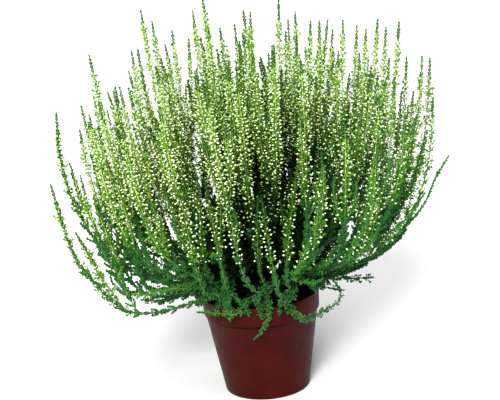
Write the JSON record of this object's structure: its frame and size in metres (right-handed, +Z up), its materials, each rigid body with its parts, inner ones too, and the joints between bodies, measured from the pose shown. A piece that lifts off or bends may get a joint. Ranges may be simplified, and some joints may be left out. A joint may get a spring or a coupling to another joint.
{
  "type": "potted heather",
  "caption": "Bud-blooming heather bush in a tapered plastic nursery pot: upright leafy wands with pale buds fan out from a short woody crown, with low branches arching over the rim",
  "frame": {"origin": "The centre of the pot's flat base, on the surface that it stands on", "axes": "+Z is up along the pot's axis; -Y faces the camera of the picture; +X is to the right in the picture"},
  "size_m": [0.3592, 0.2886, 0.3775],
  "materials": {
    "pot_plastic": "satin",
    "peat": "matte",
    "bark": "matte",
    "foliage": "matte",
    "buds": "satin"
  },
  "bodies": {
    "root": {"curled_twig": "foliage", "flowering_stem_01": "foliage", "flowering_stem_02": "foliage", "flowering_stem_03": "foliage", "flowering_stem_04": "foliage", "flowering_stem_05": "foliage", "flowering_stem_06": "foliage", "flowering_stem_07": "foliage", "flowering_stem_08": "foliage", "flowering_stem_09": "foliage", "flowering_stem_10": "foliage", "flowering_stem_11": "foliage", "flowering_stem_12": "foliage", "flowering_stem_13": "foliage", "flowering_stem_14": "foliage", "flowering_stem_15": "foliage", "flowering_stem_16": "foliage", "flowering_stem_17": "foliage", "flowering_stem_18": "foliage", "flowering_stem_19": "foliage", "flowering_stem_20": "foliage", "flowering_stem_21": "foliage", "flowering_stem_22": "foliage", "flowering_stem_23": "foliage", "flowering_stem_24": "foliage", "flowering_stem_25": "foliage", "flowering_stem_26": "foliage", "flowering_stem_27": "foliage", "flowering_stem_28": "foliage", "flowering_stem_29": "foliage", "flowering_stem_30": "foliage", "flowering_stem_31": "foliage", "flowering_stem_32": "foliage", "flowering_stem_33": "foliage", "flowering_stem_34": "foliage", "flowering_stem_35": "foliage", "flowering_stem_36": "foliage", "flowering_stem_37": "foliage", "flowering_stem_38": "foliage", "flowering_stem_39": "foliage", "flowering_stem_40": "foliage", "flowering_stem_41": "foliage", "flowering_stem_42": "foliage", "flowering_stem_43": "foliage", "flowering_stem_44": "foliage", "flowering_stem_45": "foliage", "flowering_stem_46": "foliage", "flowering_stem_47": "foliage", "flowering_stem_48": "foliage", "flowering_stem_49": "foliage", "flowering_stem_50": "foliage", "flowering_stem_51": "foliage", "hanging_twig": "foliage", "low_twig": "foliage", "pot": "pot_plastic", "rim_twig": "foliage", "root_ball": "peat", "woody_crown": "bark"}
  },
  "joints": []
}
